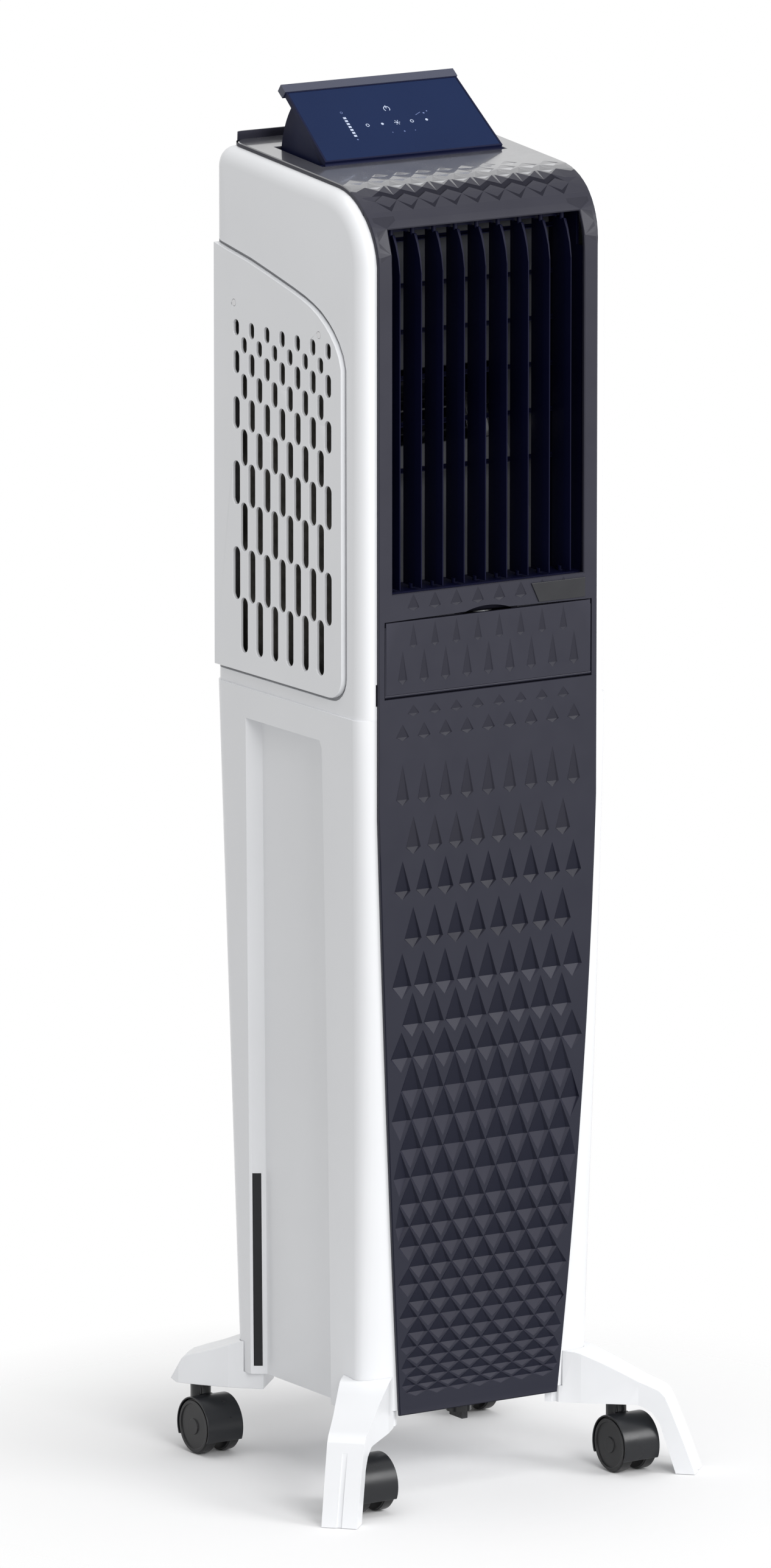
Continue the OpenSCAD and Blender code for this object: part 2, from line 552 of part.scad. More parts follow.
// the tank's outline at the height of the leg sockets, a little larger
module tank_plan() polygon([for (p = tank_ring(107, -0.15)) [p[0], p[1]]]);
module leg_front() color("whitesmoke") difference() {
  translate([leg_f[0], leg_f[1], 0]) rotate([0, 0, -45]) difference() {
    leg_blank(0, 0);
    // moulded groove down the outer face of the foot
    translate([front_len - 1.2, 0, 0]) rotate([0, -20.4, 0]) translate([0, -2.2, -6]) cube([8, 4.4, 70]);
  }
  translate([0, 0, 74.9]) linear_extrude(45) tank_plan();
  translate([stem_x, stem_yf, 40]) cylinder(h = 38, r = 5.06);
  box([-120, -1, 60], [fascia_hw(110) + 0.6, 22, 120]);
}
module leg_rear() color("whitesmoke") difference() {
  translate([leg_r[0], leg_r[1], 0]) rotate([0, 0, 45]) leg_blank(1, 1);
  translate([0, 0, 74.9]) linear_extrude(45) tank_plan();
  translate([stem_x, stem_yr, 40]) cylinder(h = 38, r = 5.06);
}
module leg_front_right() place() leg_front();
module leg_front_left() place() mirror([1, 0, 0]) leg_front();
module leg_rear_right() place() leg_rear();
module leg_rear_left() place() mirror([1, 0, 0]) leg_rear();

// ---------- castors ----------
module yoke(x, y) color([0.11, 0.12, 0.13]) place() translate([x, y, 0]) difference() {
  union() {
    // hood over both wheels, open underneath
    difference() {
      rod_x(-castor_w / 2, castor_w / 2, -trail, wheel_r, wheel_r + 2.2);
      rod_x(-castor_w / 2 - 1, -5, -trail, wheel_r, wheel_r + 0.8);
      rod_x(5, castor_w / 2 + 1, -trail, wheel_r, wheel_r + 0.8);
      box([-30, -60, -10], [30, 30, 13]);
    }
    translate([0, 0, 30]) cylinder(h = leg_under - 30.1, r = 9);
    cylinder(h = 76, r = 5);
    box([-5, -trail, 30], [5, 6, 50]);
  }
  box([-4.99, -60, -10], [4.99, 30, 4]);
  rod_x(-40, 40, -trail, wheel_r, 3.06);
  mirrored() rod_x(5, castor_w / 2 + 5, -trail, wheel_r, wheel_r + 0.8);
  translate([0, 0, -1]) cylinder(h = 28, r = 8);
}
module wheels(x, y) color([0.09, 0.09, 0.10]) place() translate([x, y, 0]) union() {
  mirrored() difference() {
    union() {
      rod_x(6, castor_w / 2 - 0.4, -trail, wheel_r, wheel_r - 1);
      rod_x(7, castor_w / 2 - 1.6, -trail, wheel_r, wheel_r);
    }
    difference() { rod_x(castor_w / 2 - 1.4, castor_w / 2 + 1, -trail, wheel_r, wheel_r - 4); rod_x(0, castor_w, -trail, wheel_r, 7); }
  }
  rod_x(-castor_w / 2 + 1, castor_w / 2 - 1, -trail, wheel_r, 3);
}
module caster_yoke_fl() yoke(-stem_x, stem_yf);
module caster_yoke_fr() yoke(stem_x, stem_yf);
module caster_yoke_rl() yoke(-stem_x, stem_yr);
module caster_yoke_rr() yoke(stem_x, stem_yr);
module caster_wheels_fl() wheels(-stem_x, stem_yf);
module caster_wheels_fr() wheels(stem_x, stem_yf);
module caster_wheels_rl() wheels(-stem_x, stem_yr);
module caster_wheels_rr() wheels(stem_x, stem_yr);

// ---------- control pod ----------
pod_low = -8;
pod_u = [cos(pod_a), sin(pod_a)];
// where the line of the face meets the round back, at radius r about the hinge
function pod_top(r) = let (d = pod_h - pod_p, b = d * pod_u) pod_h + (sqrt(b * b - d * d + r * r) - b) * pod_u;
function pod_hi(r) = atan2(pod_top(r)[1] - pod_p[1], pod_top(r)[0] - pod_p[0]);
module pod_section(r, lo, cut) difference() {
  union() {
    polygon(concat([pod_p, pod_h, pod_top(r)],
      [for (i = [1:10]) let (a = pod_hi(r) + (lo - pod_hi(r)) * i / 10) pod_p + r * [cos(a), sin(a)]]));
    translate(pod_p) circle(r = 4.6);
  }
  if (cut > 0) translate(pod_h) rotate(pod_a) translate([-20, -cut]) square([200, 60]);
}
// everything in the slab between two lines that close in towards the top of the face
module pod_taper(g) translate([0, pod_h[0], pod_h[1]]) rotate([pod_a, 0, 0]) translate([0, 0, -140]) linear_extrude(200)
  polygon([[-pod_w / 2 + g, -20], [pod_w / 2 - g, -20], [pod_w / 2 - g, 0], [pod_top_w / 2 - g, pod_len], [pod_top_w / 2 - g, pod_len + 20], [-pod_top_w / 2 + g, pod_len + 20], [-pod_top_w / 2 + g, pod_len], [-pod_w / 2 + g, 0]]);
module control_pod() color([0.10, 0.12, 0.28]) place() difference() {
  union() {
    intersection() { along_x(-95, 95) pod_section(pod_r, pod_low, 0); pod_taper(0); }
    // face plate, which overhangs the body, and the finger lip along its top edge
    intersection() {
      pod_taper(0);
      translate([0, pod_h[0], pod_h[1]]) rotate([pod_a, 0, 0]) box([-120, 60, -4.4], [120, pod_len, 0]);
    }
    translate([0, pod_h[0], pod_h[1]]) rotate([pod_a, 0, 0]) box([-pod_top_w / 2 - 1.2, pod_len - 5, -7], [pod_top_w / 2 + 1.2, pod_len + 4, 0.6]);
    rod_x(-95.2, 95.2, pod_p[0], pod_p[1], 2);
  }
  intersection() { along_x(-95, 95) difference() { pod_section(pod_r - 2.5, pod_low - 6, 5); translate(pod_p) circle(r = 6); } pod_taper(2.5); }
  // seat of the glass
  intersection() {
    pod_taper(1.6);
    translate([0, pod_h[0], pod_h[1]]) rotate([pod_a, 0, 0]) box([-120, 1.6, -2.2], [120, pod_len - 6, 5]);
  }
}
module pod_glass() color([0.12, 0.17, 0.40]) place() intersection() {
  pod_taper(1.8);
  translate([0, pod_h[0], pod_h[1]]) rotate([pod_a, 0, 0]) box([-120, 1.8, -2.1], [120, pod_len - 6.2, -0.1]);
}
module control_board() color([0.10, 0.35, 0.20]) place()
  translate([0, pod_h[0], pod_h[1]]) rotate([pod_a, 0, 0]) union() {
    box([-70, 14, -8], [70, 60, -6.4]);
    box([-40, 24, -14], [-16, 44, -8]);
    box([6, 24, -12], [40, 54, -8]);
  }

lower_housing();
side_shell_left();
side_shell_right();
upper_housing();
basin();
front_panel();
badge_plate();
side_cover_left();
side_cover_right();
rear_cover();
cover_screws();
pad_left();
pad_right();
pad_rear();
water_distributor();
louvre_frame();
air_duct();
blower_housing();
fan_motor();
fan_impeller();
pump_body();
pump_rotor();
water_hose();
level_float();
level_window();
swing_motor();
fill_door();
cable_gland();
drain_plug();
leg_front_left();
leg_front_right();
leg_rear_left();
leg_rear_right();
control_pod();
pod_glass();
control_board();
caster_yoke_fl();
caster_yoke_fr();
caster_yoke_rl();
caster_yoke_rr();
caster_wheels_fl();
caster_wheels_fr();
caster_wheels_rl();
caster_wheels_rr();
louvre_1();
louvre_2();
louvre_3();
louvre_4();
louvre_5();
louvre_6();
louvre_7();
louvre_8();
louvre_9();
louvre_link();
vane_1();
vane_2();
vane_3();
vane_4();
vane_5();
vane_6();
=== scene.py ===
import json
import math
import bpy
import bmesh
from mathutils import Vector, Matrix, geometry


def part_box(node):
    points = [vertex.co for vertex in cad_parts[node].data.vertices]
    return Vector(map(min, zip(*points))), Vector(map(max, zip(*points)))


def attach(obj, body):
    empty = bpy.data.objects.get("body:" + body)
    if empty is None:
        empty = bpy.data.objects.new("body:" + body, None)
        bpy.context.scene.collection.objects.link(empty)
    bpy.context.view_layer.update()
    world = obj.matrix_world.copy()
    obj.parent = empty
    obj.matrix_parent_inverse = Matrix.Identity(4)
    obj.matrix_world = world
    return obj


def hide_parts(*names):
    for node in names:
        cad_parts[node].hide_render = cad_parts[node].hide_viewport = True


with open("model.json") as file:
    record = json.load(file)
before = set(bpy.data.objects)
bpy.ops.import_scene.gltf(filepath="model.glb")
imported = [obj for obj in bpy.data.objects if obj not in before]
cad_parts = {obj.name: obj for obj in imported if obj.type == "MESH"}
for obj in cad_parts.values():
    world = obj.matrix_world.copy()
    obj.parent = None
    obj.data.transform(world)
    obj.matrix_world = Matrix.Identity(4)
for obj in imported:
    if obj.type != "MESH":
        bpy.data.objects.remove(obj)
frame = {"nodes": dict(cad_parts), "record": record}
NODES = frame["nodes"]
REC = frame["record"]
BODY = {n: b for b, ns in REC["behaviour"]["bodies"].items() for n in ns}
SLOT = {p["node"]: p["material_slot"] for p in REC["subparts"]}
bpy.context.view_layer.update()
scene = bpy.context.scene
Q = 0.5 ** 0.5
Y0 = ((33 - 135.5 * Q) + (217.4 + 82.7 * Q)) / 2      # front face of the fascia to the middle of the outline, mm


def F(x, y, z):
    """Millimetres from the front face of the fascia -> metres in the row frame."""
    return Vector((x / 1000, (y - Y0) / 1000, z / 1000))


# ------------------------------------------------------------------ materials
def new_mat(name):
    m = bpy.data.materials.new(name)
    m.use_nodes = True
    nt = m.node_tree
    return m, nt, nt.nodes["Principled BSDF"]


def add(nt, kind, **kw):
    n = nt.nodes.new(kind)
    for k, v in kw.items():
        if k.startswith("_"):
            n.inputs[k[1:].replace("_", " ")].default_value = v
        else:
            setattr(n, k, v)
    return n


def noise(nt, vec, scale, detail=3.0, rough=0.55):
    n = nt.nodes.new("ShaderNodeTexNoise")
    n.inputs["Scale"].default_value = scale
    n.inputs["Detail"].default_value = detail
    n.inputs["Roughness"].default_value = rough
    nt.links.new(vec, n.inputs["Vector"])
    return n.outputs["Fac"]


def ranged(nt, src, lo, hi, flo=0.3, fhi=0.7):
    n = nt.nodes.new("ShaderNodeMapRange")
    n.inputs["From Min"].default_value = flo
    n.inputs["From Max"].default_value = fhi
    n.inputs["To Min"].default_value = lo
    n.inputs["To Max"].default_value = hi
    nt.links.new(src, n.inputs["Value"])
    return n.outputs["Result"]


def mixed(nt, fac, a, b):
    n = nt.nodes.new("ShaderNodeMix")
    n.data_type = "RGBA"
    n.inputs["A"].default_value = (*a, 1) if len(a) == 3 else a
    n.inputs["B"].default_value = (*b, 1) if len(b) == 3 else b
    nt.links.new(fac, n.inputs["Factor"])
    return n.outputs["Result"]


def plastic(name, col, rough=0.4, var=0.05, grain=0.12, grain_scale=2600.0, spec=0.5, coat=0.0, coat_rough=0.15,
            ripple=0.0, edge=None, tint=None, rvar=0.06, trans=0.0, metallic=0.0, low=None):
    """Moulded plastic: slow colour drift, patchy roughness, a fine spark-eroded grain and a faint sink ripple."""
    m, nt, b = new_mat(name)
    tc = nt.nodes.new("ShaderNodeTexCoord").outputs["Object"]
    tint = tint or col
    ca = tuple(max(0.0, c * (1 - var)) for c in col)
    cb = tuple(min(1.0, c * (1 + var)) for c in tint)
    colour = mixed(nt, ranged(nt, noise(nt, tc, 7.0, 4), 0, 1), ca, cb)
    if low is not None:
        # painted shade: the colour darkens towards the foot of the piece, between object heights 0.85 m and 0.30 m
        sep = nt.nodes.new("ShaderNodeSeparateXYZ")
        nt.links.new(tc, sep.inputs["Vector"])
        mx = nt.nodes.new("ShaderNodeMix")
        mx.data_type = "RGBA"
        nt.links.new(ranged(nt, sep.outputs["Z"], 0, 1, 0.85, 0.30), mx.inputs["Factor"])
        nt.links.new(colour, mx.inputs["A"])
        mx.inputs["B"].default_value = (*low, 1)
        colour = mx.outputs["Result"]
    if edge is not None:
        # painted highlight: the sharp edges are coloured a little lighter than the faces
        g = nt.nodes.new("ShaderNodeNewGeometry")
        e = ranged(nt, g.outputs["Pointiness"], 0, 1, 0.53, 0.62)
        mx = nt.nodes.new("ShaderNodeMix")
        mx.data_type = "RGBA"
        nt.links.new(e, mx.inputs["Factor"])
        nt.links.new(colour, mx.inputs["A"])
        mx.inputs["B"].default_value = (*edge, 1)
        colour = mx.outputs["Result"]
    nt.links.new(colour, b.inputs["Base Color"])
    nt.links.new(ranged(nt, noise(nt, tc, 38.0, 5), rough - rvar, rough + rvar), b.inputs["Roughness"])
    b.inputs["Specular IOR Level"].default_value = spec
    b.inputs["Coat Weight"].default_value = coat
    b.inputs["Coat Roughness"].default_value = coat_rough
    b.inputs["Metallic"].default_value = metallic
    b.inputs["Transmission Weight"].default_value = trans
    bump = nt.nodes.new("ShaderNodeBump")
    bump.inputs["Strength"].default_value = grain
    bump.inputs["Distance"].default_value = 0.00012
    nt.links.new(noise(nt, tc, grain_scale, 2), bump.inputs["Height"])
    last = bump
    if ripple > 0:
        b2 = nt.nodes.new("ShaderNodeBump")
        b2.inputs["Strength"].default_value = ripple
        b2.inputs["Distance"].default_value = 0.0012
        nt.links.new(noise(nt, tc, 22.0, 2), b2.inputs["Height"])
        nt.links.new(bump.outputs["Normal"], b2.inputs["Normal"])
        last = b2
    nt.links.new(last.outputs["Normal"], b.inputs["Normal"])
    return m


def metal(name, col, rough, stretch=(60.0, 60.0, 900.0)):
    m, nt, b = new_mat(name)
    tc = nt.nodes.new("ShaderNodeTexCoord").outputs["Object"]
    mp = nt.nodes.new("ShaderNodeMapping")
    mp.inputs["Scale"].default_value = stretch
    nt.links.new(tc, mp.inputs["Vector"])
    streak = noise(nt, mp.outputs["Vector"], 6.0, 4)
    nt.links.new(mixed(nt, ranged(nt, streak, 0, 1), tuple(c * 0.86 for c in col), col), b.inputs["Base Color"])
    nt.links.new(ranged(nt, streak, rough - 0.08, rough + 0.1), b.inputs["Roughness"])
    b.inputs["Metallic"].default_value = 1.0
    bump = nt.nodes.new("ShaderNodeBump")
    bump.inputs["Strength"].default_value = 0.15
    bump.inputs["Distance"].default_value = 0.0001
    nt.links.new(streak, bump.inputs["Height"])
    nt.links.new(bump.outputs["Normal"], b.inputs["Normal"])
    return m


def paper(name):
    """Corrugated, resin-soaked cellulose: a tan sheet coloured dark brown-grey as painted shade for the shadow behind
    the covers, with darker wicking stains and a fibrous surface.
    """
    m, nt, b = new_mat(name)
    tc = nt.nodes.new("ShaderNodeTexCoord").outputs["Object"]
    big = noise(nt, tc, 14.0, 5)
    fine = noise(nt, tc, 900.0, 4)
    c1 = mixed(nt, ranged(nt, big, 0, 1), (0.030, 0.029, 0.027), (0.085, 0.080, 0.070))
    mx = nt.nodes.new("ShaderNodeMix")
    mx.data_type = "RGBA"
    nt.links.new(ranged(nt, fine, 0, 0.6), mx.inputs["Factor"])
    nt.links.new(c1, mx.inputs["A"])
    mx.inputs["B"].default_value = (0.050, 0.046, 0.038, 1)
    nt.links.new(mx.outputs["Result"], b.inputs["Base Color"])
    b.inputs["Roughness"].default_value = 0.9
    bump = nt.nodes.new("ShaderNodeBump")
    bump.inputs["Strength"].default_value = 0.5
    bump.inputs["Distance"].default_value = 0.0003
    nt.links.new(fine, bump.inputs["Height"])
    nt.links.new(bump.outputs["Normal"], b.inputs["Normal"])
    return m


# edge= colours paint a highlight on the sharp edges of the pieces that take them
M = {
    "white_plastic": plastic("white_plastic", (0.80, 0.81, 0.83), rough=0.34, var=0.012, grain=0.10, ripple=0.05, coat=0.25, coat_rough=0.12, edge=(0.86, 0.87, 0.89)),
    # fascia_plastic: low= paints shade towards the foot
    "fascia_plastic": plastic("fascia_plastic", (0.0185, 0.0185, 0.0300), rough=0.42, var=0.10, grain=0.18, ripple=0.03, spec=0.32, edge=(0.026, 0.026, 0.041), low=(0.0098, 0.0108, 0.0225)),
    "navy_plastic": plastic("navy_plastic", (0.0022, 0.0027, 0.0170), rough=0.5, var=0.2, grain=0.1, spec=0.12),
    "pod_plastic": plastic("pod_plastic", (0.0018, 0.0026, 0.0170), rough=0.45, var=0.12, grain=0.12, spec=0.09, edge=(0.006, 0.008, 0.030)),
    "pod_glass": plastic("pod_glass", (0.0050, 0.0145, 0.0560), rough=0.30, var=0.06, grain=0.03, spec=0.08, coat=0.02, coat_rough=0.05, rvar=0.04),
    "black_plastic": plastic("black_plastic", (0.006, 0.007, 0.009), rough=0.30, var=0.25, grain=0.16, spec=0.40, edge=(0.03, 0.03, 0.034)),
    "grey_plastic": plastic("grey_plastic", (0.040, 0.042, 0.050), rough=0.5, var=0.06, grain=0.15, spec=0.3),
    "red_plastic": plastic("red_plastic", (0.45, 0.05, 0.025), rough=0.35, var=0.08, grain=0.08),
    "smoke_window": plastic("smoke_window", (0.010, 0.011, 0.013), rough=0.35, var=0.2, grain=0.02, spec=0.25, coat=0.1, coat_rough=0.2, rvar=0.03),
    "clear_tube": plastic("clear_tube", (0.55, 0.57, 0.58), rough=0.25, var=0.05, grain=0.04, coat=0.4),
    "pad_paper": paper("pad_paper"),
    "motor_metal": metal("motor_metal", (0.55, 0.56, 0.58), 0.38),
    "steel": metal("steel", (0.60, 0.60, 0.61), 0.30),
    "wheel_rubber": plastic("wheel_rubber", (0.005, 0.005, 0.006), rough=0.34, var=0.3, grain=0.30, grain_scale=1500.0, spec=0.38, edge=(0.022, 0.022, 0.024)),
    "board_green": plastic("board_green", (0.015, 0.10, 0.035), rough=0.35, var=0.25, grain=0.2, coat=0.3),
}
M["icon_white"] = plastic("icon_white", (0.42, 0.48, 0.62), rough=0.5, var=0.05, grain=0.05)
M["icon_dim"] = plastic("icon_dim", (0.10, 0.14, 0.30), rough=0.5, var=0.1, grain=0.05)
M["lip_satin"] = plastic("lip_satin", (0.014, 0.016, 0.031), rough=0.40, var=0.08, grain=0.15, spec=0.35, edge=(0.045, 0.050, 0.080))
# painted shade and light: darker and lighter copies of the fascia plastic for the dents' facets, chosen by which way
# each facet turns; the first also darkens further towards the foot
M["facet_painted_shade"] = plastic("facet_painted_shade", (0.0080, 0.0082, 0.0165), rough=0.55, var=0.10, grain=0.18, ripple=0.03, spec=0.20, low=(0.0046, 0.0055, 0.0150))
M["facet_painted_half_shade"] = plastic("facet_painted_half_shade", (0.0130, 0.0130, 0.0225), rough=0.48, var=0.10, grain=0.18, ripple=0.03, spec=0.27)
M["facet_painted_light"] = plastic("facet_painted_light", (0.0165, 0.0168, 0.0310), rough=0.44, var=0.08, grain=0.15, ripple=0.03, spec=0.36)
M["groove_shade"] = plastic("groove_shade", (0.30, 0.305, 0.32), rough=0.5, var=0.05, grain=0.10)
# the deck is the fascia plastic: its lighter colour is a painted sheen over a real gloss, and the next material is a
# painted highlight for its up-turned facets
M["deck_gloss_painted_sheen"] = plastic("deck_gloss_painted_sheen", (0.070, 0.071, 0.082), rough=0.24, var=0.10, grain=0.10, ripple=0.04, spec=0.9, coat=1.0, coat_rough=0.07)
M["deck_painted_highlight"] = plastic("deck_painted_highlight", (0.26, 0.265, 0.29), rough=0.28, var=0.10, grain=0.10, ripple=0.04, spec=0.9, coat=1.0, coat_rough=0.07)
# painted shade for the zigzag's faces that turn down
M["zigzag_painted_shade"] = plastic("zigzag_painted_shade", (0.0080, 0.0080, 0.0150), rough=0.6, var=0.10, grain=0.15, spec=0.15)


# ------------------------------------------------------------------ mesh helpers
def put(name, me, mats, body, replaces=()):
    ob = bpy.data.objects.new(name, me)
    scene.collection.objects.link(ob)
    me.materials.clear()
    for m in mats if isinstance(mats, (list, tuple)) else [mats]:
        me.materials.append(m)
    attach(ob, body)
    if replaces:
        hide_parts(*replaces)
    return ob


def welded(node, tol=2e-6, flat=True):
    """A bmesh copy of a CAD node, with the shared corners joined and flat faces made whole."""
    bm = bmesh.new()
    bm.from_mesh(NODES[node].data)
    bmesh.ops.remove_doubles(bm, verts=bm.verts, dist=tol)
    bmesh.ops.dissolve_degenerate(bm, edges=bm.edges, dist=1e-7)
    if flat:
        bmesh.ops.dissolve_limit(bm, angle_limit=math.radians(0.25), verts=bm.verts, edges=bm.edges)
    bm.normal_update()
    return bm


def finish_mesh(bm, name):
    me = bpy.data.meshes.new(name)
    bm.to_mesh(me)
    bm.free()
    me.validate()
    me.update()
    return me


def soften(ob, width, segs=2, angle=32.0, smooth=28.0, clamp=True):
    """Rounds the hard edges by a small radius and shades the rest smooth."""
    me = ob.data
    for p in me.polygons:
        p.use_smooth = True
    me.set_sharp_from_angle(angle=math.radians(smooth))
    if width > 0:
        b = ob.modifiers.new("bevel", "BEVEL")
        b.width = width
        b.segments = segs
        b.limit_method = "ANGLE"
        b.angle_limit = math.radians(angle)
        b.use_clamp_overlap = clamp
        b.harden_normals = True
        b.miter_outer = "MITER_ARC"
    return ob


def dress(node, bevel=0.0004, segs=2, mat=None, name=None, **kw):
    """The CAD node with its edges rounded and its finish: a new piece that stands for the node."""
    bm = welded(node)
    me = finish_mesh(bm, (name or node) + "_skin")
    ob = put((name or node) + "_finished", me, mat or M[SLOT[node]], BODY[node], [node])
    return soften(ob, bevel, segs, **kw)


def loop_mesh(name, verts, faces):
    me = bpy.data.meshes.new(name)
    me.from_pydata([tuple(v) for v in verts], [], faces)
    me.validate()
    me.update()
    return me


# ------------------------------------------------------------------ shape of the cabinet, as in the CAD source
def below(z):
    return max(0.0, 600.0 - z)


def fascia_hw(z):
    return 111 - 0.030 * below(z) - 0.00005 * below(z) ** 2


def fascia_y(z):
    return 13 * (below(z) / 520) ** 2


SLOPE = math.radians(5.114)
BEND_R = 65.0
BEND_Z = 1076.3
PHI = math.radians(90 - 5.114)
S_BEND = BEND_Z + BEND_R * PHI            # running length at which the bend ends and the flat top starts


def surf(x, s, d=0.0):
    """Point of the fascia's outer face at running height s, d mm below the face."""
    if s <= BEND_Z:
        # the lower front leans back a little; depth is measured square to it
        slope = -2 * 13 * below(s) / 520 ** 2
        n = 1 / math.sqrt(1 + slope * slope)
        return F(x, fascia_y(s) + d * n, s + d * slope * n)
    if s <= S_BEND:
        a = (s - BEND_Z) / BEND_R
        r = BEND_R - d
        return F(x, BEND_R - r * math.cos(a), BEND_Z + r * math.sin(a))
    t = s - S_BEND
    y = BEND_R - BEND_R * math.cos(PHI) + t * math.cos(SLOPE) + d * math.sin(SLOPE)
    z = BEND_Z + BEND_R * math.sin(PHI) + t * math.sin(SLOPE) - d * math.cos(SLOPE)
    return F(x, y, z)


def s_of_y(y):
    """Running length at which the flat top is at depth y."""
    return S_BEND + (y - (BEND_R - BEND_R * math.cos(PHI))) / math.cos(SLOPE)


# ------------------------------------------------------------------ relief of the fascia
P = 21.8


def cell(x, top, base, low, c, w, d, out, hw=None):
    """One dent: an upright triangle that sinks to its base, then a short rise back to the surface."""
    lim = (lambda v: v) if hw is None else (lambda v: max(-hw, min(hw, v)))
    A = (x, top, 0.0)
    L, R = (lim(x - w), base, 0.0), (lim(x + w), base, 0.0)
    C1, C2 = (lim(x - c), base, d), (lim(x + c), base, d)
    if abs(C1[0] - L[0]) < 0.3:
        C1 = L
    if abs(C2[0] - R[0]) < 0.3:
        C2 = R
    B = (x, low, 0.0)
    tris = [(A, L, C1), (A, C1, C2), (A, C2, R), (B, C1, L), (B, C2, C1), (B, R, C2)]
    out.extend(t for t in tris if len(set(t)) == 3 and not (t[0][0] == t[1][0] == t[2][0]))


ROWS = [  # parity (0: a dent on the centre line), top, base, low end, half width of the deep line, half width, depth
    (1, 793.0, 781.0, 778.5, 5.0, 6.0, 0.55),
    (0, 745.0, 719.0, 715.0, 3.6, 4.8, 0.75),
    (1, 768.0, 748.5, 746.0, 3.0, 4.0, 0.45),
    (1, 697.0, 689.5, 687.0, 5.0, 6.0, 0.5),
    (0, 681.0, 669.5, 666.5, 5.4, 6.6, 0.8),
    (0, 646.0, 615.0, 610.0, 5.0, 6.6, 1.3),
    (1, 600.0, 573.0, 567.0, 6.0, 7.6, 1.8),
    (0, 562.0, 535.0, 528.0, 6.6, 8.2, 2.1),
    (1, 521.0, 493.0, 485.0, 7.0, 8.8, 2.3),
    (0, 481.5, 451.5, 441.0, 7.6, 9.8, 2.5),
    (1, 446.0, 417.5, 407.0, 7.8, 10.4, 2.5),
    (0, 412.0, 388.5, 376.5, 8.0, 10.9, 2.5),
    (1, 388.5, 359.5, 343.8, 8.0, 10.9, 2.5),
]
lower = [359.5, 333.3, 307.2, 282.5, 258.7, 239.0, 220.8, 202.5, 187.0, 171.0, 157.4, 143.5, 131.3, 121.5, 112.4, 104.3, 97.0, 90.8]
for k in range(1, len(lower)):
    s_ = lower[k - 1] - lower[k]
    ROWS.append((k % 2 == 0 and 1 or 0, lower[k - 1], lower[k], lower[k] - 0.66 * (lower[k] - lower[k + 1] if k + 1 < len(lower) else 6.0), 8.0, P / 2, min(2.5, 0.115 * s_ + 0.25)))


def front_cells(z_lo, z_hi):
    tris = []
    for par, top, base, low, c, w, d in ROWS:
        if top > z_hi - 0.5 or low < z_lo + 0.5:
            continue
        for k in range(-5, 6):
            x = k * P + (P / 2 if par else 0.0)
            hw = min(fascia_hw(base), 111) - 3.2
            if abs(x) > min(fascia_hw(base) - 5.0, 90.0):
                continue
            cell(x, top, base, low, c, w, d, tris, hw)
    return tris


def bary(p, t):
    (ax, ay, ad), (bx, by, bd), (cx, cy, cd) = t
    det = (by - cy) * (ax - cx) + (cx - bx) * (ay - cy)
    if abs(det) < 1e-9:
        return None
    u = ((by - cy) * (p[0] - cx) + (cx - bx) * (p[1] - cy)) / det
    v = ((cy - ay) * (p[0] - cx) + (ax - cx) * (p[1] - cy)) / det
    w = 1 - u - v
    if min(u, v, w) < -1e-6:
        return None
    return u * ad + v * bd + w * cd


def in_poly(p, poly):
    x, y = p
    inside = False
    j = len(poly) - 1
    for i in range(len(poly)):
        xi, yi = poly[i]
        xj, yj = poly[j]
        if (yi > y) != (yj > y) and x < (xj - xi) * (y - yi) / (yj - yi) + xi:
            inside = not inside
        j = i
    return inside


def base_normal(c):
    """Outward normal of the plain fascia under a point, and the way up along it."""
    y, z = c.y * 1000 + Y0, c.z * 1000
    if z <= BEND_Z:
        n = Vector((0, -1, -2 * 13 * below(z) / 520 ** 2))
    elif y < BEND_R - BEND_R * math.cos(PHI) + 0.01:
        n = Vector((0, y - BEND_R, z - BEND_Z))
    else:
        n = Vector((0, -math.sin(SLOPE), math.cos(SLOPE)))
    n.normalize()
    return n, Vector((0, n.z, -n.y))


def finish_of(f):
    """0 plain, 1 a facet that turns down, in painted shade, 2 a facet that turns up, painted lit, 3 the deck, painted
    lighter as a sheen, 4 a facet of the deck that turns up, a painted highlight, 5 the zigzag's face that turns down,
    in painted shade, 6 a facet of the upper rows, in a softer painted shade.
    """
    c = f.calc_center_median()
    n, up = base_normal(c)
    t = f.normal.dot(up)
    ang = math.degrees(math.atan2(n.z, -n.y))
    if ang > 66:
        return 4 if t > 0.03 else 3
    if ang > 40:
        return 5 if t < -0.03 and abs(c.x) < 0.092 else 0
    z = c.z * 1000
    if t < -0.018:
        return 6 if z > 570 else 1
    return (2 if z < 470 else 6) if t > 0.03 else 0


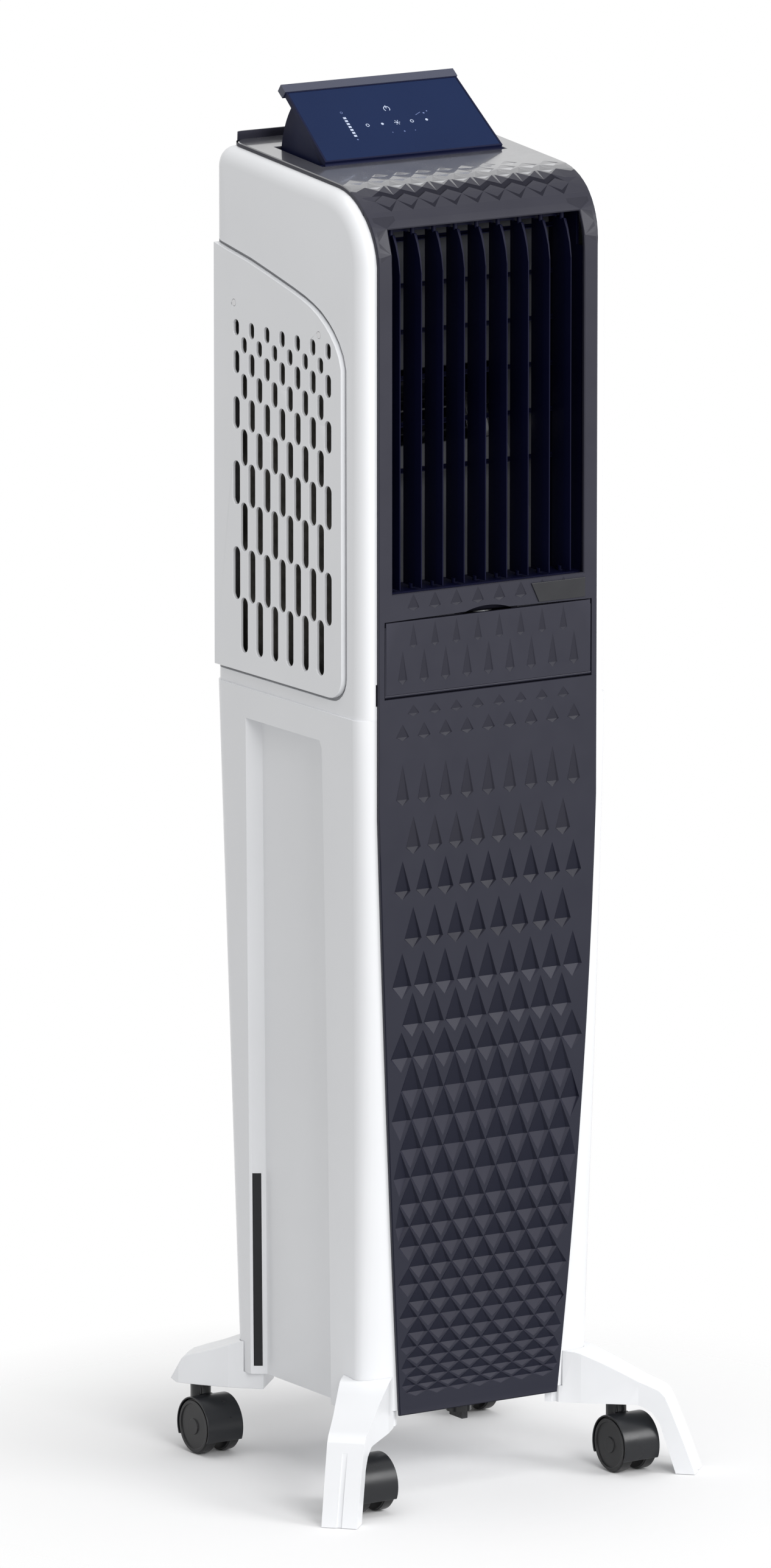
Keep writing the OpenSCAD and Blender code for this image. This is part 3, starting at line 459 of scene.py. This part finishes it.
def skin(name, outline, inner, holes, tris, rows_at, mats, body, edge=0.7, extra=()):
    """A sheet over the fascia's face. outline and inner are its rim and the line where the rim's rounding ends;
    holes is a list of (rim, line) pairs; tris are the dents; rows_at are extra lines across."""
    verts, edges, depth = [], [], {}
    idx = {}

    def v(x, s, d=None):
        key = (round(x, 3), round(s, 3))
        if key not in idx:
            idx[key] = len(verts)
            verts.append(Vector(key))
        if d is not None:
            depth[idx[key]] = d
        return idx[key]

    def ring(poly, d):
        ids = [v(x, s, d) for x, s in poly]
        for i in range(len(ids)):
            if ids[i] != ids[(i + 1) % len(ids)]:
                edges.append((ids[i], ids[(i + 1) % len(ids)]))

    ring(outline, edge)
    ring(inner, 0.0)
    for rim, line in holes:
        ring(rim, edge)
        ring(line, 0.0)
    for t in tris:
        ids = [v(p[0], p[1], p[2]) for p in t]
        for i in range(3):
            if ids[i] != ids[(i + 1) % 3]:
                edges.append((ids[i], ids[(i + 1) % 3]))
    for s, xs in rows_at:
        for x in xs:
            if in_poly((x, s), inner) and not any(in_poly((x, s), line) for _, line in holes):
                v(x, s)
    bounds = [(min(p[0] for p in t), max(p[0] for p in t), min(p[1] for p in t), max(p[1] for p in t), t) for t in tris]
    out = geometry.delaunay_2d_cdt(verts, edges, [], 0, 1e-4)
    V, T, orig = out[0], out[2], out[3]
    pts = []
    for i, co in enumerate(V):
        d = None
        for o in orig[i]:
            if o in depth:
                d = depth[o] if d is None else max(d, depth[o])
        if d is None:
            d = 0.0
            for x0, x1, s0, s1, t in bounds:
                if x0 - 1e-6 <= co[0] <= x1 + 1e-6 and s0 - 1e-6 <= co[1] <= s1 + 1e-6:
                    b = bary(co, t)
                    if b is not None:
                        d = max(d, b)
        pts.append(surf(co[0], co[1], d))
    faces = []
    for f in T:
        c = (sum(V[i][0] for i in f) / len(f), sum(V[i][1] for i in f) / len(f))
        if in_poly(c, outline) and not any(in_poly(c, rim) for rim, _ in holes):
            faces.append(tuple(f))
    me = loop_mesh(name, pts, faces)
    bm = bmesh.new()
    bm.from_mesh(me)
    for f in bm.faces:
        f.normal_update()
    loose = [w for w in bm.verts if not w.link_faces]
    bmesh.ops.delete(bm, geom=loose, context="VERTS")
    # outwards is towards -Y on the front and +Z on the top
    flip = [f for f in bm.faces if (f.normal.y * -1 + f.normal.z) < 0]
    if flip:
        bmesh.ops.reverse_faces(bm, faces=flip)
    bm.normal_update()
    for f in bm.faces:
        f.material_index = finish_of(f)
    bmesh.ops.dissolve_limit(bm, angle_limit=math.radians(0.3), verts=bm.verts, edges=bm.edges, delimit={"MATERIAL"})
    bm.normal_update()
    bm.to_mesh(me)
    bm.free()
    kinds = [p.material_index for p in me.polygons]
    ob = put(name, me, mats, body)
    me.polygons.foreach_set("material_index", kinds)
    me.update()
    return ob


# the fascia plastic and its painted shaded, lit and highlighted copies, picked per face by finish_of
FINISHES = [M["fascia_plastic"], M["facet_painted_shade"], M["facet_painted_light"], M["deck_gloss_painted_sheen"], M["deck_painted_highlight"], M["zigzag_painted_shade"], M["facet_painted_half_shade"]]


def frange(a, b, n):
    return [a + (b - a) * i / n for i in range(n + 1)]


def side_line(z0, z1, inset, step=12.0):
    n = max(1, int(abs(z1 - z0) / step))
    return [(fascia_hw(z) - inset, z) for z in frange(z0, z1, n)]


# ------------------------------------------------------------------ fascia: front and top
S_END = s_of_y(229.0)
R_C = 14.0


def fascia_rim(inset):
    """The outline of the fascia in running coordinates, drawn in by inset."""
    right = [(fascia_hw(z) - inset, z) for z in frange(70.8 + inset, 600, 44)] + [(111 - inset, 700), (111 - inset, 850), (111 - inset, 1000), (111 - inset, 1076.3)]
    right += [(111 + 3 * i / 6 - inset, 1076.3 + (1130 - 1076.3) * i / 6) for i in range(1, 7)]
    right += [(114 - inset, s) for s in frange(1140, S_END - R_C, 14)]
    corner = [(114 - R_C + (R_C - inset) * math.cos(a), S_END - R_C + (R_C - inset) * math.sin(a)) for a in frange(0, math.pi / 2, 8)[1:]]
    half = right + corner
    return half + [(-x, s) for x, s in reversed(half)]


def rect(x0, s0, x1, s1, nx=1, ns=1):
    return ([(x, s0) for x in frange(x0, x1, nx)[:-1]] + [(x1, s) for s in frange(s0, s1, ns)[:-1]]
            + [(x, s1) for x in frange(x1, x0, nx)[:-1]] + [(x0, s) for s in frange(s1, s0, ns)[:-1]])


LOUVRE_TOP = BEND_Z + BEND_R * math.asin((1107 - BEND_Z) / BEND_R)
louvre_hole = (rect(-97.3, 794, 97.3, LOUVRE_TOP, 1, 14), rect(-98.2, 793.1, 98.2, LOUVRE_TOP + 0.9, 1, 14))


def door_gap(g):
    arc = []
    for i in range(0, 13):
        a = math.radians(112 - (112 - 68) * i / 12)
        x, z = -1 + (70 + g) * math.cos(a), 705.5 + (70 + g) * math.sin(a)
        if z > 770.5 + g + 0.05:
            arc.append((x, z))
    pts = [(105.3 + g, 703.6 - g), (105.3 + g, 770.5 + g)] + list(reversed(arc)) + [(-105.3 - g, 770.5 + g), (-105.3 - g, 703.6 - g)]
    return pts


well_s0, well_s1 = s_of_y(116.4), s_of_y(193.2)
well_hole = (rect(-93.2, well_s0, 93.2, well_s1), rect(-94.0, well_s0 - 0.8, 94.0, well_s1 + 0.8))

# zigzag step across the bend, and the rows of shallow facets above and behind it
bend_cells = []


def zigzag(s_mid, amp, band, d, out, x_lim=104.0):
    """A zigzag: a narrow face that turns down under a sharp edge, which finish_of gives painted shade."""
    n = int(2 * x_lim / (P / 2)) + 2
    xs = [(k - n // 2) * P / 2 for k in range(n + 1)]
    xs = [x for x in xs if abs(x) <= x_lim]
    for i in range(len(xs) - 1):
        x0, x1 = xs[i], xs[i + 1]
        up0 = (round(x0 / (P / 2)) % 2 == 0)
        a0, a1 = s_mid + (amp if up0 else -amp), s_mid + (-amp if up0 else amp)
        T0, T1 = (x0, a0, 0.0), (x1, a1, 0.0)
        D0, D1 = (x0, a0 - band, d), (x1, a1 - band, d)
        E0, E1 = (x0, a0 - band - 1.3, 0.0), (x1, a1 - band - 1.3, 0.0)
        out += [(T0, T1, D1), (T0, D1, D0), (D0, D1, E1), (D0, E1, E0)]


S_ZIG = BEND_Z + BEND_R * math.radians(62)
zigzag(S_ZIG, 3.4, 5.2, 1.7, bend_cells)
for k in range(-4, 5):
    cell(k * P, S_ZIG + 22.0, S_ZIG + 11.0, S_ZIG + 6.5, 7.0, 9.6, 0.75, bend_cells)
for k in range(-5, 5):
    cell((k + 0.5) * P, S_ZIG + 33.0, S_ZIG + 24.0, S_ZIG + 17.0, 7.0, 9.6, 0.6, bend_cells)
for k in range(-3, 4):
    cell(k * P, S_ZIG + 44.0, S_ZIG + 36.5, S_ZIG + 32.0, 6.0, 8.6, 0.45, bend_cells)

xs_lines = frange(-109, 109, 10)
rows_at = [(s, xs_lines) for s in frange(1080, S_BEND + 6, 22)] + [(s, [-104, -101, 101, 104]) for s in frange(90, 1060, 48)]

front_holes = [louvre_hole, (door_gap(0.0), door_gap(0.22)), well_hole]
cells_front = [t for t in front_cells(72, 794) if not (702 < t[0][1] < 771)]
fascia_skin = skin("fascia_face", fascia_rim(0.0), fascia_rim(0.9), front_holes, cells_front + bend_cells, rows_at,
                   FINISHES, BODY["front_panel"])
for p in fascia_skin.data.polygons:
    p.use_smooth = True
fascia_skin.data.set_sharp_from_angle(angle=math.radians(3.0))

# the moulding behind the face: the CAD node without its outer face
bm = welded("front_panel")


def on_face(v):
    y, z = v.co.y * 1000 + Y0, v.co.z * 1000
    if z <= BEND_Z:
        return abs(y - fascia_y(z)) < 0.45
    r = math.hypot(y - BEND_R, z - BEND_Z)
    if y < BEND_R - BEND_R * math.cos(PHI) + 0.01:
        return abs(r - BEND_R) < 0.45
    top = BEND_Z + BEND_R / math.cos(SLOPE) + (y - BEND_R) * math.tan(SLOPE)
    return abs(z - top) < 0.35


gone = [f for f in bm.faces if all(on_face(v) for v in f.verts) and (f.normal.y < -0.15 or f.normal.z > 0.3)]
bmesh.ops.delete(bm, geom=gone, context="FACES")
for v in bm.verts:
    if on_face(v):
        y, z = v.co.y * 1000 + Y0, v.co.z * 1000
        if z <= BEND_Z:
            v.co.y += 0.0007
        elif y < BEND_R - BEND_R * math.cos(PHI) + 0.01:
            n = Vector((0, (y - BEND_R), (z - BEND_Z))).normalized()
            v.co -= n * 0.0007
        else:
            v.co.z -= 0.0007
bm.normal_update()
me = finish_mesh(bm, "fascia_back")
back = put("fascia_moulding", me, M["fascia_plastic"], BODY["front_panel"], ["front_panel"])
soften(back, 0.0, smooth=30)

# ------------------------------------------------------------------ filling door
bm = welded("fill_door")
gone = [f for f in bm.faces if f.normal.y < -0.9 and all(abs(v.co.y * 1000 + Y0) < 0.05 for v in f.verts)]
bmesh.ops.delete(bm, geom=gone, context="FACES")
for v in bm.verts:
    if abs(v.co.y * 1000 + Y0) < 0.05:
        v.co.y += 0.0007
me = finish_mesh(bm, "door_back")
door = put("fill_door_moulding", me, M["fascia_plastic"], "fill_door", ["fill_door"])
soften(door, 0.0, smooth=30)


def door_rim(i):
    return [(104.8 - i, 707 + i), (104.8 - i, 766 - i * 0), (104 - i, 766), (104 - i, 770 - i), (-104 + i, 770 - i), (-104 + i, 766), (-104.8 + i, 766 - i * 0), (-104.8 + i, 707 + i)]


door_rim0 = [(104.8, 707.0), (104.8, 766.0), (104.0, 766.0), (104.0, 770.0), (-104.0, 770.0), (-104.0, 766.0), (-104.8, 766.0), (-104.8, 707.0)]
door_rim1 = [(103.75, 707.3), (103.75, 769.75), (-103.75, 769.75), (-103.75, 707.3)]
cells_door = [t for t in front_cells(705, 772) if 706 < min(p[1] for p in t) and max(p[1] for p in t) < 769]
door_skin = skin("fill_door_face", door_rim0, door_rim1, [], cells_door, [], FINISHES, "fill_door")
for p in door_skin.data.polygons:
    p.use_smooth = True
door_skin.data.set_sharp_from_angle(angle=math.radians(3.0))

# ------------------------------------------------------------------ the other nodes, dressed
for n, w in (("lower_housing", 0.0012), ("side_shell_left", 0.0005), ("side_shell_right", 0.0005), ("upper_housing", 0.0005)):
    shell = dress(n, w, 3)
    if n.startswith("side_shell"):
        # the channel round the side cover lies in its shade
        shell.data.materials.append(M["groove_shade"])
        for p in shell.data.polygons:
            if abs(abs(p.center.x) - 0.1235) < 0.00015 and abs(p.normal.x) > 0.99:
                p.material_index = 1
for n in ("side_cover_left", "side_cover_right", "rear_cover"):
    dress(n, 0.0005, 3, clamp=False)
for n in ("leg_front_left", "leg_front_right"):
    dress(n, 0.0024, 4, angle=24)
for n in ("leg_rear_left", "leg_rear_right"):
    dress(n, 0.0024, 4, angle=24)
for c in ("fl", "fr", "rl", "rr"):
    dress("caster_yoke_" + c, 0.0006, 2, clamp=False)
    dress("caster_wheels_" + c, 0.0008, 3)
for i in range(1, 10):
    dress("louvre_%d" % i, 0.0003, 2)
for i in range(1, 7):
    dress("vane_%d" % i, 0.0002, 1)
for n in ("cover_screws", "water_distributor", "louvre_frame", "air_duct", "blower_housing", "fan_motor", "pump_body", "pump_rotor",
          "water_hose", "level_float", "swing_motor", "basin", "cable_gland", "drain_plug", "louvre_link", "control_board", "fan_impeller"):
    if n in NODES:
        dress(n, 0.0003, 2)
dress("level_window", 0.0004, 2)
dress("badge_plate", 0.0004, 2)


# ------------------------------------------------------------------ cooling pads: fluted sheets
def pad(node, axis):
    lo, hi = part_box(node)
    bm = bmesh.new()
    thick = 0 if axis == "x" else 1
    wide = 1 - thick
    nw, nz = 64, 96
    eps = 0.0004
    for side in (0, 1):
        grid = []
        for j in range(nz + 1):
            row = []
            for i in range(nw + 1):
                u, w = i / nw, j / nz
                co = Vector((0, 0, lo.z + (hi.z - lo.z) * w))
                co[wide] = lo[wide] + (hi[wide] - lo[wide]) * u
                z, y = co.z, co[wide]
                flute = 0.5 + 0.5 * math.sin((z + y * 1.0) * 2 * math.pi / 0.014)
                flute2 = 0.5 + 0.5 * math.sin((z - y * 0.55) * 2 * math.pi / 0.014)
                dd = eps + 0.0022 * max(flute, flute2)
                rim = min(u, 1 - u, w, 1 - w)
                if rim == 0:
                    dd = eps
                co[thick] = lo[thick] + dd if side == 0 else hi[thick] - dd
                row.append(bm.verts.new(co))
            grid.append(row)
        for j in range(nz):
            for i in range(nw):
                f = (grid[j][i], grid[j][i + 1], grid[j + 1][i + 1], grid[j + 1][i])
                bm.faces.new(f if side == 0 else f[::-1])
        if side == 0:
            first = grid
    # close the four edges
    for j in range(nz):
        for a, b in ((0, 0), (nw, nw)):
            q = (first[j][a], first[j + 1][a], grid[j + 1][b], grid[j][b])
            bm.faces.new(q)
    for i in range(nw):
        for a in (0, nz):
            q = (first[a][i], first[a][i + 1], grid[a][i + 1], grid[a][i])
            bm.faces.new(q)
    bmesh.ops.recalc_face_normals(bm, faces=bm.faces)
    me = finish_mesh(bm, node + "_flutes")
    ob = put(node + "_flutes", me, M["pad_paper"], BODY[node], [node])
    for p in me.polygons:
        p.use_smooth = True
    me.set_sharp_from_angle(angle=math.radians(50))
    return ob


pad("pad_left", "x")
pad("pad_right", "x")
pad("pad_rear", "y")

# ------------------------------------------------------------------ control pod
POD_H = (117.2, 1149.6)
POD_T = (189.5, 1203.6)
POD_A = math.atan2(POD_T[1] - POD_H[1], POD_T[0] - POD_H[0])
POD_L = math.hypot(POD_T[0] - POD_H[0], POD_T[1] - POD_H[1])


def pod_pt(x, v, w):
    return F(x, POD_H[0] + v * math.cos(POD_A) - w * math.sin(POD_A), POD_H[1] + v * math.sin(POD_A) + w * math.cos(POD_A))


pod = dress("control_pod", 0.0007, 3)
pod.data.materials.append(M["lip_satin"])
for p in pod.data.polygons:
    d = Vector((0, p.center.y * 1000 + Y0 - POD_H[0], p.center.z * 1000 - POD_H[1]))
    v_, w_ = d.y * math.cos(POD_A) + d.z * math.sin(POD_A), -d.y * math.sin(POD_A) + d.z * math.cos(POD_A)
    if v_ > POD_L - 5.3 and w_ > -7.3:
        p.material_index = 1
dress("pod_glass", 0.0002, 2)


def symbol(name, polys, mat):
    """Flat printed marks, a tenth of a millimetre thick, on the pod's face."""
    bm = bmesh.new()
    for pts in polys:
        top = [bm.verts.new(pod_pt(x, v, 0.02)) for x, v in pts]
        bot = [bm.verts.new(pod_pt(x, v, -0.12)) for x, v in pts]
        bm.faces.new(top)
        bm.faces.new(bot[::-1])
        for i in range(len(pts)):
            j = (i + 1) % len(pts)
            bm.faces.new((top[j], top[i], bot[i], bot[j]))
    bmesh.ops.recalc_face_normals(bm, faces=bm.faces)
    me = finish_mesh(bm, name)
    return put(name, me, mat, "control_pod")


def disc(cx, cv, r, n=20):
    return [(cx + r * math.cos(2 * math.pi * i / n), cv + r * math.sin(2 * math.pi * i / n)) for i in range(n)]


def ring(cx, cv, r, t, a0=0.0, a1=360.0, n=28):
    out = []
    for i in range(n):
        a, b = math.radians(a0 + (a1 - a0) * i / n), math.radians(a0 + (a1 - a0) * (i + 1) / n)
        out.append([(cx + r * math.cos(a), cv + r * math.sin(a)), (cx + r * math.cos(b), cv + r * math.sin(b)),
                    (cx + (r - t) * math.cos(b), cv + (r - t) * math.sin(b)), (cx + (r - t) * math.cos(a), cv + (r - t) * math.sin(a))])
    return out


def bar(x0, v0, x1, v1, t):
    dx, dv = x1 - x0, v1 - v0
    m = math.hypot(dx, dv)
    nx, nv = -dv / m * t / 2, dx / m * t / 2
    return [(x0 + nx, v0 + nv), (x1 + nx, v1 + nv), (x1 - nx, v1 - nv), (x0 - nx, v0 - nv)]


symbol("mark_power", ring(0, 55, 3.2, 0.7, -50, 230) + [bar(0, 55.5, 0, 59.0, 0.8)], M["icon_white"])
row_v = 38.0
marks = []
for k, x in enumerate((-28, -13, 2, 17, 32)):
    if k in (0, 3):
        marks += ring(x, row_v, 1.8, 0.6, 0, 360, 16)
    elif k in (1, 4):
        marks += [disc(x, row_v, 1.3)]
    else:
        marks += [disc(x, row_v, 1.0)] + [bar(x + 1.6 * math.cos(a), row_v + 1.6 * math.sin(a), x + 2.9 * math.cos(a), row_v + 2.9 * math.sin(a), 0.6) for a in [math.radians(60 * i) for i in range(6)]]
symbol("mark_keys", marks, M["icon_white"])
symbol("mark_dim", [disc(33, 46, 0.9), disc(37, 48, 0.7), bar(24, 44.5, 30, 47.5, 0.5), disc(4, 27, 0.8), disc(-8, 27, 0.5), disc(15, 27, 0.5)], M["icon_dim"])
leds = []
for i in range(7):
    v = 26 + i * 3.6
    leds.append([(-47.2, v), (-44.4, v), (-44.4, v + 2.2), (-47.2, v + 2.2)])
symbol("mark_level", leds, M["icon_white"])
symbol("mark_level_ends", [disc(-45.8, 22.5, 0.8)] + ring(-45.8, 55.4, 1.3, 0.4, 0, 360, 14), M["icon_dim"])

# ------------------------------------------------------------------ stage, lights and camera
bpy.ops.mesh.primitive_plane_add(size=40, location=(0, 0, -0.0005))
floor = bpy.context.object
floor.name = "floor"
fm, fnt, fb = new_mat("floor_paper")
ftc = fnt.nodes.new("ShaderNodeTexCoord").outputs["Object"]
fnt.links.new(mixed(fnt, ranged(fnt, noise(fnt, ftc, 0.7, 2), 0, 1), (0.885, 0.885, 0.89), (0.90, 0.90, 0.905)), fb.inputs["Base Color"])
fb.inputs["Roughness"].default_value = 0.8
fb.inputs["Specular IOR Level"].default_value = 0.25
# the sheet ends in a soft edge a little way from the object
ln = fnt.nodes.new("ShaderNodeVectorMath")
ln.operation = "LENGTH"
fnt.links.new(ftc, ln.inputs[0])
fade = ranged(fnt, ln.outputs["Value"], 0, 1, 0.22, 0.55)
clear = fnt.nodes.new("ShaderNodeBsdfTransparent")
blend = fnt.nodes.new("ShaderNodeMixShader")
fnt.links.new(fade, blend.inputs[0])
fnt.links.new(fb.outputs[0], blend.inputs[1])
fnt.links.new(clear.outputs[0], blend.inputs[2])
fnt.links.new(blend.outputs[0], fnt.nodes["Material Output"].inputs["Surface"])
floor.data.materials.append(fm)

world = bpy.data.worlds.new("studio")
scene.world = world
world.use_nodes = True
wn = world.node_tree
bg = wn.nodes["Background"]
bg.inputs["Color"].default_value = (1.0, 1.0, 1.0, 1)
bg.inputs["Strength"].default_value = 0.56
bg2 = wn.nodes.new("ShaderNodeBackground")
bg2.inputs["Color"].default_value = (1.0, 1.0, 1.0, 1)
bg2.inputs["Strength"].default_value = 1.0
lp = wn.nodes.new("ShaderNodeLightPath")
mx = wn.nodes.new("ShaderNodeMath")
mx.operation = "MAXIMUM"
wn.links.new(lp.outputs["Is Camera Ray"], mx.inputs[0])
wn.links.new(lp.outputs["Is Glossy Ray"], mx.inputs[1])
ms = wn.nodes.new("ShaderNodeMixShader")
wn.links.new(mx.outputs[0], ms.inputs[0])
wn.links.new(bg.outputs[0], ms.inputs[1])
wn.links.new(bg2.outputs[0], ms.inputs[2])
wn.links.new(ms.outputs[0], wn.nodes["World Output"].inputs["Surface"])


def area(name, loc, target, size, power, size_y=None, colour=(1, 1, 1)):
    l = bpy.data.lights.new(name, "AREA")
    l.energy = power
    l.color = colour
    l.shape = "RECTANGLE"
    l.size = size
    l.size_y = size_y or size
    o = bpy.data.objects.new(name, l)
    scene.collection.objects.link(o)
    o.location = loc
    o.rotation_mode = "QUATERNION"
    o.rotation_quaternion = (Vector(target) - Vector(loc)).to_track_quat("-Z", "Y")
    return o


area("key", (2.2, -3.3, 2.3), (0, 0, 0.6), 1.8, 78, 1.8)
area("front", (-0.5, -4.0, 2.3), (0, 0, 0.6), 1.8, 86, 1.6)
area("top", (-0.3, -0.1, 3.6), (0, 0, 0.6), 2.4, 24)

A = math.radians(-32.6636)
E = math.radians(11.5127)
right = Vector((math.cos(A), math.sin(A), 0))
backv = Vector((math.sin(A) * math.cos(E), -math.cos(A) * math.cos(E), math.sin(E)))
aim = right * -0.088 + Vector((0, 0, 0.6196)) + Vector((0, -Y0 / 1000, 0))
cam_data = bpy.data.cameras.new("camera")
cam = bpy.data.objects.new("camera", cam_data)
scene.collection.objects.link(cam)
cam.location = aim + backv * 11.9942
cam.rotation_mode = "QUATERNION"
cam.rotation_quaternion = backv.to_track_quat("Z", "Y")
cam_data.sensor_width = 36.0
cam_data.lens = 36.0 * 23034.0 / 2576.0
cam_data.clip_end = 100.0
cam_data.dof.use_dof = False
scene.camera = cam
scene.view_settings.view_transform = "Standard"
scene.view_settings.look = "None"
